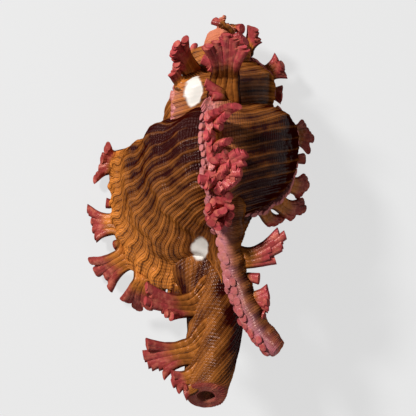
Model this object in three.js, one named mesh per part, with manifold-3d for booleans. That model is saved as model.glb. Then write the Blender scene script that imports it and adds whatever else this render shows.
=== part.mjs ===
// A rose-branch murex shell, lying as it rests on a table: aperture down, back up, apex towards +Y.
// Millimetres. The whorls are grown about a coiling axis that leans a little, its apex end down;
// everything else is placed where it lies. Heights are above the table.
import * as THREE from "three";
import { mergeVertices } from "three/addons/utils/BufferGeometryUtils.js";
import Module from "manifold-3d";

const wasm = await Module();
wasm.setup();
const { degToRad, lerp, smoothstep } = THREE.MathUtils;

// ---- Driving dimensions ----
const AXIS_LEAN = degToRad(12); // how far the apex end of the coiling axis dips
const AXIS_HEIGHT = 22.45; // height of the axis above the table, half way along the shell
const APEX = 53.4; // half way along the shell to the apex, along the axis
const VARIX_SWELL = 0.115; // how far a varix stands out, as a share of the whorl's radius
const VARIX_RUN = 0.5; // radians of growth over which a varix rises
const LIP_FLARE = 9.5; // how far the lip's skirt spreads beyond the last whorl
const LIP_RUN = 0.95; // radians of growth over which the lip spreads
const KNOB = 0.07; // height of the shoulder knob between varices, as a share of the radius

// One row per varix, back from the lip: turn round the axis in degrees (0 to the left, 90 up), radius of the
// whorl at its shoulder, and the shoulder's place along the axis.
const GROWTH = [
  [-33, 23.6, 15.4], [80, 21.0, 19.3], [207, 19.6, 23.3], [396, 15.2, 29.5], [447, 14.2, 32.0],
  [566, 13.4, 37.0], [690, 10.0, 40.4], [807, 8.2, 42.8], [920, 6.9, 44.8], [1045, 5.3, 46.6],
  [1165, 4.0, 48.2], [1285, 2.9, 49.8], [1405, 1.9, 51.2], [1525, 1.0, 52.4], [1640, 0.5, 53.0],
];
// The whorl's outline: distance from the axis and height above the shoulder, both in whorl radii.
const OUTLINE = [
  [0.02, 0.48], [0.3, 0.42], [0.6, 0.27], [0.8, 0.14], [0.94, 0.02], [1.0, -0.14], [1.0, -0.36],
  [0.97, -0.58], [0.88, -0.8], [0.73, -0.98], [0.52, -1.12], [0.32, -1.22], [0.16, -1.36], [0.02, -1.55],
];
const outlineCurve = new THREE.CatmullRomCurve3(
  OUTLINE.map(([r, h]) => new THREE.Vector3(r, h, 0)), false, "catmullrom", 0.5);

// ---- Growth laws: stage 0 is the lip, stage 1 the varix before it, and so on ----
function grown(stage, column) {
  const row = (i) => GROWTH[Math.min(Math.max(i, 0), GROWTH.length - 1)][column];
  const i = Math.floor(stage);
  const t = stage - i;
  const [a, b, c, d] = [i === 0 ? 2 * row(0) - row(1) : row(i - 1), row(i), row(i + 1), row(i + 2)];
  return b + 0.5 * t * (c - a + t * (2 * a - 5 * b + 4 * c - d + t * (3 * (b - c) + d - a)));
}
const turnOf = (stage) => degToRad(grown(stage, 0));
const bell = (x, centre, width) => Math.exp(-(((x - centre) / width) ** 2));
const lay = (x, along, up) => new THREE.Vector3(
  x, along * Math.cos(AXIS_LEAN) + up * Math.sin(AXIS_LEAN),
  AXIS_HEIGHT - along * Math.sin(AXIS_LEAN) + up * Math.cos(AXIS_LEAN));

// Height of a varix above the whorl: it rises gently on the side it was grown from, then ends.
function swell(stage, h, atVarix) {
  const size = grown(stage, 1);
  const last = Math.floor(stage + 1e-6);
  const before = turnOf(stage) - turnOf(last);
  const rise = atVarix ? 0 : 1 - smoothstep(before, 0, VARIX_RUN);
  const half = (turnOf(last) + turnOf(last + 1)) / 2;
  const knob = KNOB * size * bell(turnOf(stage), half, 0.22) * bell(h, 0, 0.17);
  const lip = last === 0 && !atVarix ? LIP_FLARE * (1 - Math.min(before / LIP_RUN, 1)) ** 1.4 : 0;
  return VARIX_SWELL * size * rise + knob + lip * smoothstep(-h, -0.1, 0.1);
}

// A point on the whorl's outside at a growth stage; u runs from 0 at the top of the outline to 1 at its foot.
function whorlPoint(stage, u, atVarix = false) {
  const { x: r, y: h } = outlineCurve.getPoint(u);
  const slope = outlineCurve.getTangent(u);
  const out = swell(stage, h, atVarix) * smoothstep(r, 0.15, 0.6);
  const size = grown(stage, 1);
  const reach = size * r - out * slope.y;
  const along = grown(stage, 2) + size * h + out * slope.x;
  return lay(-Math.cos(turnOf(stage)) * reach, along, Math.sin(turnOf(stage)) * reach);
}

// ---- Solids ----
// A cylinder of `around` sides and `along` steps, every corner moved to place(side, step) and the middles of
// its ends to heart(step).
function sweep(around, along, place, heart) {
  const cylinder = new THREE.CylinderGeometry(1, 1, 1, around, along);
  const p = cylinder.getAttribute("position");
  for (let i = 0; i < p.count; i++) {
    const step = Math.round((p.getY(i) + 0.5) * along);
    const atHeart = Math.hypot(p.getX(i), p.getZ(i)) < 0.5;
    const turn = Math.atan2(p.getX(i), p.getZ(i)) / (2 * Math.PI);
    const side = (Math.round(turn * around) + around) % around;
    const q = atHeart ? heart(step) : place(side, step);
    p.setXYZ(i, q.x, q.y, q.z);
  }
  return solidOf(cylinder);
}

// A closed geometry as a solid, its faces turned outward.
function solidOf(geometry) {
  geometry.deleteAttribute("normal");
  geometry.deleteAttribute("uv");
  const merged = mergeVertices(geometry, 1e-5);
  const vertProperties = new Float32Array(merged.getAttribute("position").array);
  const triVerts = new Uint32Array(merged.index.array);
  const made = () => new wasm.Manifold(new wasm.Mesh({ numProp: 3, vertProperties, triVerts }));
  if (made().volume() > 0) return made();
  for (let i = 0; i < triVerts.length; i += 3) [triVerts[i], triVerts[i + 1]] = [triVerts[i + 1], triVerts[i]];
  return made();
}

// The growth from one varix to the next.
function whorl(last) {
  const around = last < 3 ? 17 : last < 6 ? 12 : 7;
  const turn = turnOf(last + 1) - turnOf(last);
  const along = Math.ceil(turn / degToRad(last < 3 ? 14 : last < 6 ? 20 : 34));
  const stageAt = (step) => last + 1.05 * (1 - step / along) ** 1.25;
  return sweep(around, along,
    (side, step) => whorlPoint(stageAt(step), side / (around - 1), step === 0),
    (step) => whorlPoint(stageAt(step), 0.5, true).lerp(lay(0, grown(stageAt(step), 2) * 0.9, 0), 0.5));
}

// A round or flattened branch through points [x, y, z, half width, half depth].
function branch(points, around, along) {
  const curve = (of) => new THREE.CatmullRomCurve3(points.map(of), false, "catmullrom", 0.5);
  const path = curve(([x, y, z]) => new THREE.Vector3(x, y, z));
  const girth = curve(([, , , w, d]) => new THREE.Vector3(w, d, 0));
  const place = (side, step) => {
    const ahead = path.getTangent(step / along);
    const across = new THREE.Vector3(1, 0, 0).addScaledVector(ahead, -ahead.x).normalize();
    const through = ahead.clone().cross(across);
    const { x: width, y: depth } = girth.getPoint(step / along);
    const turn = (2 * Math.PI * side) / around;
    return path.getPoint(step / along).addScaledVector(across, width * Math.cos(turn))
      .addScaledVector(through, depth * Math.sin(turn));
  };
  return sweep(around, along, place, (step) => path.getPoint(step / along));
}

// A frond: `fingers` ribs side by side, broad at the root, drawn in at the neck and fanned out at the tips.
// It leaves the shell along `lean` and ends around `tip`; its fingers lie along `fan`, `width` across the tips.
function frond({ root, lean, tip, fan, fingers, width }) {
  const length = tip.distanceTo(root);
  const ahead = tip.clone().sub(root).normalize();
  const spread = fan.clone().normalize();
  const across = fan.clone().addScaledVector(ahead, -fan.dot(ahead)).normalize();
  const cup = across.clone().cross(ahead);
  const spine = new THREE.QuadraticBezierCurve3(
    root.clone().addScaledVector(lean, -1.5), root.clone().addScaledVector(lean, 0.4 * length), tip);
  const along = length > 6 ? 3 : 2;
  const around = fingers > 1 ? 4 : 3;
  const thick = Math.min(0.66 * width / fingers, 0.22 * length) + 0.35;
  return Array.from({ length: fingers }, (_, j) => {
    const q = fingers === 1 ? 0 : (2 * j) / (fingers - 1) - 1;
    const end = 1 - 0.1 * Math.abs(q) ** 1.5 - 0.06 * ((j * 7) % 3);
    const middle = (t) => {
      const apart = 0.42 * width * (1 - 0.42 * bell(t, 0.4, 0.33));
      return spine.getPoint(t).addScaledVector(spread, q * apart).addScaledVector(cup, 0.12 * width * q * q * t);
    };
    const place = (side, step) => {
      const t = (end * step) / along;
      const girth = thick * (1.3 - 0.45 * t) * (step === along ? 0.55 : 1);
      const turn = (2 * Math.PI * side) / around;
      return middle(t).addScaledVector(across, girth * Math.cos(turn)).addScaledVector(cup, 0.8 * girth * Math.sin(turn));
    };
    return sweep(around, along, place, (step) => middle((end * step) / along));
  });
}

// ---- Where the fronds stand on a varix: [varix, root [x, y], tip [x, y, z], fingers, width, fan [x, y, z]] ----
// The root is the point of the varix nearest to [x, y] seen from above; a fan lies along the varix unless told.
const VARIX_FRONDS = [
  // the lip
  [0, [-28.0, 11.2], [-34.6, 11.8, -0.9], 4, 8.6], [0, [-29, 0.6], [-32.2, 0.7, 1.6], 1, 1.8],
  [0, [-28.6, -4.6], [-37.0, -5.0, -1.0], 4, 8.0], [0, [-27, -9.6], [-29.8, -10.9, 2.0], 1, 1.8],
  [0, [-25.2, -13.4], [-34.2, -19.2, -1.0], 4, 8.8, [-0.55, 0.8, 0]],
  [0, [-18.6, -17.0], [-23.2, -28.9, 5.0], 4, 8.2, [-1, 0.1, 0]],
  [0, [-13.4, -18.4], [-12.7, -25.0, 9.0], 1, 1.8, [1, 0, 0]],
  // the varix on the back
  [1, [-1.0, 21.8], [3.8, 25.8, 49.4], 4, 6.8, [1, -0.2, 0]], [1, [-3.6, 17.8], [-5.2, 18.2, 46.0], 1, 2.4],
  [1, [-3.6, 13.6], [-4.6, 13.6, 46.0], 1, 2.2], [1, [-1.4, 8.6], [2.0, 10.4, 49.8], 4, 9.4, [0.4, 1, 0]],
  [1, [-3.4, 6.4], [-6.2, 6.6, 45.6], 1, 2.2], [1, [-1.6, -1.4], [-2.0, -1.4, 45.4], 4, 6.2, [1, 0.5, 0]],
  // the varix on the right
  [2, [19.8, 19.6], [25.4, 19.2, -1.0], 3, 6.4], [2, [19.3, 13.1], [23.2, 13.2, 4.6], 1, 2.4],
  [2, [17.7, 6.6], [23.8, 5.6, -1.0], 3, 4.6], [2, [15.0, 1.6], [22.6, -1.0, -1.0], 3, 5.2],
  [2, [11.0, -0.6], [17.2, -4.4, 4.0], 1, 3.8],
  // the spire
  [3, [-9.4, 36.8], [-13.8, 43.6, 31.0], 4, 9.6, [0.3, 1, 0]], [3, [-11.4, 32.5], [-14.0, 36.8, 27.0], 1, 2.2],
  [4, [2.0, 33.0], [0.2, 45.2, 41.0], 4, 9.4, [1, 0, 0]], [4, [-1, 34.0], [-7.0, 38.9, 34.0], 1, 1.8],
  [4, [-2.0, 29.0], [-6.0, 31.2, 34.0], 2, 2.8], [5, [12.4, 36.4], [16.9, 38.8, 9.6], 3, 4.6],
  [5, [14.8, 31.0], [16.6, 30.6, 8.6], 1, 3.0], [6, [-8, 40.6], [-9.0, 42.4, 6.0], 2, 2.6],
  [7, [1, 43.0], [4.6, 45.6, 25.6], 4, 4.6, [1, 0, 0]], [8, [6.5, 43.6], [8.4, 48.0, 12.6], 3, 3.4],
  [11, [2.6, 48.4], [5.2, 48.2, 13.0], 1, 1.2], [10, [-2, 48.6], [-3.2, 50.0, 14.6], 1, 1.4],
];
function varixFrond([varix, [x, y], tip, fingers, width, fanned]) {
  const stage = varix + (varix === 0 ? 0.012 : 0.03);
  const offset = (u) => Math.hypot(whorlPoint(stage, u).x - x, whorlPoint(stage, u).y - y);
  let best = 0.2;
  for (let u = 0.2; u < 0.93; u += 0.004) if (offset(u) < offset(best)) best = u;
  const root = whorlPoint(stage, best);
  const along = whorlPoint(stage, best - 0.01).sub(whorlPoint(stage, best + 0.01)).normalize();
  const growing = whorlPoint(stage, best).sub(whorlPoint(stage + 0.05, best)).normalize();
  const lean = along.clone().cross(growing).normalize();
  if (lean.dot(root.clone().sub(lay(0, y, 0))) < 0) lean.negate();
  const fan = fanned ? new THREE.Vector3(...fanned) : along;
  return frond({ root, lean, tip: new THREE.Vector3(...tip), fan, fingers, width });
}

// ---- The siphonal canals of the last three stages: [x, y, z, half width, half depth] ----
const CANAL = [
  [-10.0, -8, 13, 9.0, 7.0], [-5.5, -16, 17, 9.6, 7.4], [-2.2, -24, 21, 8.6, 6.6], [-2.4, -32, 25, 7.6, 5.8],
  [-3.6, -40, 28.6, 6.9, 5.0], [-4.6, -46.5, 31.4, 6.0, 4.2], [-4.8, -51.8, 33.2, 5.2, 3.6],
];
const BACK_CANAL = [
  [1.0, 6, 36, 4.6, 6.0], [2.0, -3, 34.5, 4.4, 5.6], [2.4, -10, 32.6, 3.8, 5.0], [3.4, -17, 31.4, 3.8, 4.6],
  [5.4, -24, 31.2, 3.8, 4.2], [7.9, -30, 31.8, 3.3, 3.6], [11.4, -35.4, 33.0, 2.9, 3.0], [14.8, -38.4, 34.0, 2.4, 2.3],
];
const RIGHT_CANAL = [
  [7.0, 4, 14.0, 6.0, 5.0], [4.0, -4, 15.0, 5.0, 4.6], [1.6, -12, 17.0, 4.0, 4.0], [1.0, -20, 19.0, 3.0, 3.0],
];
// Fronds on the canals: [root, lean, tip, fingers, width, fan].
const CANAL_FRONDS = [
  [[-6.0, -25.0, 25.0], [-1, -0.35, 0.3], [-20.2, -24.9, 30.0], 4, 10.4, [-0.55, 0.83, 0]],
  [[-7.6, -39.2, 29.0], [-1, -0.1, 0.1], [-21.6, -41.4, 31.0], 4, 9.0, [-0.6, 0.8, 0]],
  [[-8.4, -45.2, 31.5], [-1, -0.3, 0.1], [-14.2, -47.0, 33.0], 2, 3.6, [-0.4, 0.9, 0]],
  [[-8.4, -48.4, 32.6], [-1, -0.4, 0.1], [-10.8, -49.4, 33.4], 1, 2.4, [0, 1, 0]],
  [[3.4, -12.0, 33.0], [1, -0.5, 0.1], [15.0, -11.8, 36.0], 4, 9.2, [0.2, 1, 0]],
  [[4.4, -18.8, 32.0], [1, 0, 0], [9.8, -19.4, 33.0], 1, 2.2, [0, 1, 0]],
  [[6.2, -25.0, 32.0], [1, 0, 0.2], [12.4, -24.4, 35.0], 3, 4.6, [0, 1, 0]],
  [[7.6, -30.0, 32.6], [1, 0, 0.2], [11.4, -31.0, 34.5], 2, 3.0, [0, 1, 0]],
];

// ---- The hollow: the end of the living chamber, and the canal's bore from it to the tip ----
const CHAMBER_REACH = 0.62; // stages the hollow runs back from the lip
function livingChamber() {
  const around = 11;
  const along = 6;
  const middle = (step, across, up) => {
    const stage = lerp(-0.06, CHAMBER_REACH, step / along);
    const size = grown(Math.max(stage, 0), 1);
    const turn = stage < 0 ? turnOf(0) + stage * 2 : turnOf(stage);
    const reach = size * (0.66 + across);
    return lay(-Math.cos(turn) * reach, grown(Math.max(stage, 0), 2) + size * (up - 0.5), Math.sin(turn) * reach);
  };
  const share = (step) => 1 - 0.7 * (step / along) ** 2;
  return sweep(around, along, (side, step) => {
    const turn = (2 * Math.PI * side) / around;
    return middle(step, 0.27 * share(step) * Math.cos(turn), 0.4 * share(step) * Math.sin(turn));
  }, (step) => middle(step, 0, 0));
}
const BORE = [
  [-13.0, -3, 9.0, 3.0, 3.0], [-8.6, -13, 12.4, 2.0, 2.0], [-4.4, -24, 19.0, 1.5, 1.5], [-3.2, -36, 25.6, 1.5, 1.5],
  [-4.0, -46, 31.2, 1.5, 1.5], [-4.6, -54, 34.4, 1.9, 1.8],
];

function shell() {
  const core = new THREE.LatheGeometry(
    [[0, -18], [1.8, -18], [1.6, 20], [0.5, APEX - 1.6], [0, APEX]].map(([x, y]) => new THREE.Vector2(x, y)), 8);
  const c = core.getAttribute("position");
  for (let i = 0; i < c.count; i++) {
    const q = lay(c.getX(i), c.getY(i), c.getZ(i));
    c.setXYZ(i, q.x, q.y, q.z);
  }
  const parts = [solidOf(core), branch(CANAL, 12, 8), branch(BACK_CANAL, 8, 8), branch(RIGHT_CANAL, 8, 4)];
  for (let varix = 0; varix < GROWTH.length - 2; varix++) parts.push(whorl(varix));
  for (const f of VARIX_FRONDS) parts.push(...varixFrond(f));
  for (const [root, lean, tip, fingers, width, fan] of CANAL_FRONDS)
    parts.push(...frond({
      root: new THREE.Vector3(...root), lean: new THREE.Vector3(...lean).normalize(),
      tip: new THREE.Vector3(...tip), fan: new THREE.Vector3(...fan), fingers, width,
    }));
  const table = solidOf(new THREE.BoxGeometry(200, 200, 20).translate(0, 0, -10));
  const cut = wasm.Manifold.union(parts).subtract(wasm.Manifold.union([livingChamber(), branch(BORE, 7, 8), table]));
  const [body] = cut.decompose().sort((a, b) => b.volume() - a.volume()); // pockets sealed in the joints are filled
  return body;
}

function meshOf(solid) {
  const { vertProperties, triVerts } = solid.getMesh();
  const geometry = new THREE.BufferGeometry()
    .setAttribute("position", new THREE.BufferAttribute(vertProperties, 3))
    .setIndex(new THREE.BufferAttribute(triVerts, 1));
  const material = new THREE.MeshStandardMaterial({ color: 0x8a4a1e, roughness: 0.45, metalness: 0 });
  const mesh = new THREE.Mesh(geometry, material);
  mesh.name = "shell";
  return mesh;
}

// The origin goes under the middle of the shell, on the table.
const grownShell = shell();
const { min, max } = grownShell.boundingBox();
const part = new THREE.Group();
part.add(meshOf(grownShell.translate([-(min[0] + max[0]) / 2, -(min[1] + max[1]) / 2, -min[2]])));
export default part;
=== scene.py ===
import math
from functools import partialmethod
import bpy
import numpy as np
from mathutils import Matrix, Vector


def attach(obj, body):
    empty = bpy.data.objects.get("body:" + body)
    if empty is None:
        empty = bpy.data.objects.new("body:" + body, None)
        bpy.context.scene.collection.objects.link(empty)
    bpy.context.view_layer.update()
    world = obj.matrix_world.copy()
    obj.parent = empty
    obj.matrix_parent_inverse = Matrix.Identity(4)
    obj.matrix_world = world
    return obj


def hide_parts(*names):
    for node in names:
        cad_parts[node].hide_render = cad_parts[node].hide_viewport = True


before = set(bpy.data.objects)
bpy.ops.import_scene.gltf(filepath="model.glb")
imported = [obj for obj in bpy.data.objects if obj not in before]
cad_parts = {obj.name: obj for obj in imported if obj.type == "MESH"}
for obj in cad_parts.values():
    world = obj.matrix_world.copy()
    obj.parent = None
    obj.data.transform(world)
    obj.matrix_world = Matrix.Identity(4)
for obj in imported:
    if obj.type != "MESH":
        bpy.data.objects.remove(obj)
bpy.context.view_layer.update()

# %% [markdown]
# A rose-branch murex shell lies on a table, aperture down. The real animal built it by adding growth lines
# at the mouth, so almost everything here is one rule: take the outline of the mouth, and carry it round and
# down an axis while it grows. The frame gives the size and the place; this script gives the surface.

MM = 0.001  # everything below is in millimetres until it becomes a mesh
rng = np.random.default_rng(7)

# %% [markdown]
# The growth law. Each varix (the thick ridge left where the mouth paused) is one row: the turn round the
# axis, the whorl's radius and how far along the axis its shoulder sits. Stage 0 is the lip and stage 1 the
# varix before it; a Catmull-Rom spline fills in the stages between, as smooth growth would.

# %% Growth law and outline of the whorl
AXIS_LEAN = math.radians(12)  # the apex end of the axis dips by this much
AXIS_HEIGHT = 22.45
SHIFT = (6.26, 0.37)  # the frame's origin is under the middle of the shell
GROWTH = np.array([
    [-33, 23.6, 15.4], [80, 21.0, 19.3], [207, 19.6, 23.3], [396, 15.2, 29.5], [447, 14.2, 32.0],
    [566, 13.4, 37.0], [690, 10.0, 40.4], [807, 8.2, 42.8], [920, 6.9, 44.8], [1045, 5.3, 46.6],
    [1165, 4.0, 48.2], [1285, 2.9, 49.8], [1405, 1.9, 51.2], [1525, 1.0, 52.4], [1640, 0.5, 53.0]])
OUTLINE = [
    [0.02, 0.48], [0.3, 0.42], [0.6, 0.27], [0.8, 0.14], [0.94, 0.02], [1.0, -0.14], [1.0, -0.36],
    [0.97, -0.58], [0.88, -0.8], [0.73, -0.98], [0.52, -1.12], [0.32, -1.22], [0.16, -1.36], [0.02, -1.55]]
VARIX_SWELL, VARIX_RUN = 0.115, 0.5
LIP_FLARE, LIP_RUN = 9.5, 0.95
KNOB = 0.07


def spline(rows, where):
    """Catmull-Rom through equally spaced rows, at positions counted in rows."""
    rows = np.asarray(rows, float)
    where = np.atleast_1d(np.asarray(where, float))
    padded = np.vstack([2 * rows[0] - rows[1], rows, 2 * rows[-1] - rows[-2]])
    i = np.clip(np.floor(where).astype(int), 0, len(rows) - 2)
    t = (where - i)[:, None]
    a, b, c, d = (padded[i + k] for k in range(4))
    return b + 0.5 * t * (c - a + t * (2 * a - 5 * b + 4 * c - d + t * (3 * (b - c) + d - a)))


def even_line(points, count):
    """The smooth line through the points, as `count` points an equal way apart."""
    fine = spline(points, np.linspace(0, len(points) - 1, 60 * len(points)))
    run = np.concatenate([[0], np.cumsum(np.linalg.norm(np.diff(fine, axis=0), axis=1))])
    return np.stack([np.interp(np.linspace(0, run[-1], count), run, fine[:, k])
                     for k in range(fine.shape[1])], axis=1)


outline = even_line(OUTLINE, 400)
outline_slope = np.gradient(outline, axis=0)
outline_slope /= np.linalg.norm(outline_slope, axis=1)[:, None]


def smooth(x, low, high):
    t = np.clip((np.asarray(x, float) - low) / (high - low), 0, 1)
    return t * t * (3 - 2 * t)


def bell(x, centre, width):
    return np.exp(-(((x - centre) / width) ** 2))


def lay(x, along, up):
    """From the coiling axis to where the shell lies."""
    c, s = math.cos(AXIS_LEAN), math.sin(AXIS_LEAN)
    return np.stack([x + SHIFT[0], along * c + up * s + SHIFT[1], AXIS_HEIGHT - along * s + up * c],
                    axis=-1)


print("outline length in whorl radii:",
      round(float(np.linalg.norm(np.diff(outline, axis=0), axis=1).sum()), 2))

# %% [markdown]
# A varix rises gently on the side it was grown from and then stops short, and the last one flares into the
# lip's skirt. These heights are worked out once, as shares of the whorl's radius, so that the growth rows
# below and the fronds that root on them agree.

# %% Varix, lip and knob heights
def growth_rows(stage):
    """Turn in radians, radius, shoulder and the three swellings for each stage."""
    stage = np.atleast_1d(np.asarray(stage, float))
    turn, size, shoulder = spline(GROWTH, stage).T
    turn = np.radians(turn)
    last = np.floor(stage + 1e-9)
    start = np.radians(spline(GROWTH, last)[:, 0])
    end = np.radians(spline(GROWTH, last + 1)[:, 0])
    before = turn - start
    ridge = VARIX_SWELL * (1 - smooth(before, 0, VARIX_RUN)) * (1 - 0.16 * bell(before, 0, 0.035))
    knob = KNOB * bell(turn, (start + end) / 2, 0.22)
    flare = np.where(last == 0, LIP_FLARE * (1 - np.minimum(before / LIP_RUN, 1)) ** 1.4 / size, 0)
    return turn, size, shoulder, ridge, knob, flare


def whorl_point(stage, u, lift=0.0):
    """The whorl's surface at a stage and a place u (0 top, 1 foot) on its outline, `lift` mm above it."""
    turn, size, shoulder, ridge, knob, flare = (v[0] for v in growth_rows(stage))
    k = np.clip(u, 0, 1) * (len(outline) - 1)
    r, h = (np.interp(k, np.arange(len(outline)), outline[:, c]) for c in (0, 1))
    tr, th = (np.interp(k, np.arange(len(outline)), outline_slope[:, c]) for c in (0, 1))
    out = smooth(r, 0.15, 0.6) * (ridge + knob * bell(h, 0, 0.17) + flare * smooth(-h, -0.1, 0.1))
    reach = size * (r - out * th) - lift * th
    along = shoulder + size * (h + out * tr) + lift * tr
    return lay(-math.cos(turn) * reach, along, math.sin(turn) * reach)


print("lip edge at mid height (mm):", whorl_point(0, 0.5).round(1))

# %% [markdown]
# Node trees are easier to read as sums than as boxes and wires. This small class lets us write `a * b + 1`
# and adds the Math nodes for us; it works in Geometry Nodes and in a material alike.

# %% A way to write sums in a node tree
class Sum:
    def __init__(self, tree, socket):
        self.tree, self.socket = tree, socket

    def math(self, operation, *others):
        node = self.tree.nodes.new("ShaderNodeMath")
        node.operation = operation
        for slot, value in zip(node.inputs, (self, *others)):
            feed(self.tree, slot, value)
        return Sum(self.tree, node.outputs[0])

    __add__ = __radd__ = partialmethod(math, "ADD")
    __sub__ = partialmethod(math, "SUBTRACT")
    __mul__ = __rmul__ = partialmethod(math, "MULTIPLY")
    __truediv__ = partialmethod(math, "DIVIDE")
    power = partialmethod(math, "POWER")
    floor = partialmethod(math, "FLOOR")
    cosine = partialmethod(math, "COSINE")
    sine = partialmethod(math, "SINE")
    at_most = partialmethod(math, "MINIMUM")
    at_least = partialmethod(math, "MAXIMUM")

    def __rsub__(self, other):
        return self * -1 + other

    def ease(self, low, high):
        """0 below low, 1 above high, smooth between."""
        node = self.tree.nodes.new("ShaderNodeMapRange")
        node.interpolation_type = "SMOOTHSTEP"
        feed(self.tree, node.inputs["Value"], self)
        feed(self.tree, node.inputs["From Min"], low)
        feed(self.tree, node.inputs["From Max"], high)
        return Sum(self.tree, node.outputs["Result"])

    def hump(self, centre, width):
        """1 at the centre, fading to 0 about two widths away."""
        x = (self - centre) / width
        return (x * x * -1).math("EXPONENT")


def feed(tree, slot, value):
    if isinstance(value, Sum):
        tree.links.new(value.socket, slot)
    elif isinstance(value, bpy.types.NodeSocket):
        tree.links.new(value, slot)
    else:
        slot.default_value = value


def node(tree, kind, settings=None, **inputs):
    """Adds a node; settings are its own properties and the rest are its input sockets, by name."""
    made = tree.nodes.new(kind)
    for name, value in (settings or {}).items():
        setattr(made, name, value)
    for name, value in inputs.items():
        feed(tree, made.inputs[name.replace("_", " ")], value)
    return made


# %% [markdown]
# The growth rows and the outline go into one Geometry Nodes tree. Its object is a ladder: one point for
# each growth line, which remembers where the outline's middle is and which way its two axes point. The tree
# lays a grid over the ladder and the outline, raises the varices and knobs, then cuts the spiral cords into
# it. Cords are real relief and not only a bump, because they show in the outline of the shell and catch the
# light.

# %% The tree that grows a skin over a ladder
SKIN_INPUTS = [
    ("Steps around", "NodeSocketInt", 200),
    ("Cords", "NodeSocketFloat", 50.0),
    ("Cord slant", "NodeSocketFloat", 0.0),
    ("Cords to a rib", "NodeSocketFloat", 5.0),
    ("Cord height", "NodeSocketFloat", 0.2),
    ("Rib height", "NodeSocketFloat", 0.3),
    ("Unevenness", "NodeSocketFloat", 0.3),
    ("Fold height", "NodeSocketFloat", 0.0),
    ("Cord wave", "NodeSocketFloat", 0.0),
    ("Blush side", "NodeSocketFloat", 0.0),
    ("Seed", "NodeSocketFloat", 1.0)]
# the middle and the half size of each bare patch, seen from above
WORN = [((-1.7, 31.0), (2.6, 4.2)), ((-0.2, -10.9), (2.3, 3.2))]


def tree_with(name, inputs):
    tree = bpy.data.node_groups.new(name, "GeometryNodeTree")
    tree.interface.new_socket("Geometry", in_out="INPUT", socket_type="NodeSocketGeometry")
    for label, kind, value in inputs:
        made = tree.interface.new_socket(label, in_out="INPUT", socket_type=kind)
        if value is not None:
            made.default_value = value
    tree.interface.new_socket("Geometry", in_out="OUTPUT", socket_type="NodeSocketGeometry")
    return tree, tree.nodes.new("NodeGroupInput"), tree.nodes.new("NodeGroupOutput")


def split(tree, vector):
    parts = node(tree, "ShaderNodeSeparateXYZ", Vector=vector)
    return [Sum(tree, parts.outputs[k]) for k in range(3)]


def here(tree, what):
    """What each point knows of itself: its Position, Normal or Index."""
    return tree.nodes.new("GeometryNodeInput" + what).outputs[0]


def named(tree, name, kind="FLOAT"):
    made = node(tree, "GeometryNodeInputNamedAttribute", {"data_type": kind}, Name=name)
    return made.outputs["Attribute"]


def vectors(tree, operation, first, second):
    made = node(tree, "ShaderNodeVectorMath", {"operation": operation})
    feed(tree, made.inputs[0], first)
    feed(tree, made.inputs[1], second)
    return made


def scaled(tree, vector, amount):
    made = node(tree, "ShaderNodeVectorMath", {"operation": "SCALE"}, Vector=vector, Scale=amount)
    return made.outputs["Vector"]


def added(tree, first, *others):
    for other in others:
        first = vectors(tree, "ADD", first, other).outputs["Vector"]
    return first


def stored(tree, geometry, name, value, kind="FLOAT"):
    made = node(tree, "GeometryNodeStoreNamedAttribute", {"data_type": kind, "domain": "POINT"},
                Geometry=geometry, Name=name, Value=value)
    return made.outputs["Geometry"]


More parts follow.
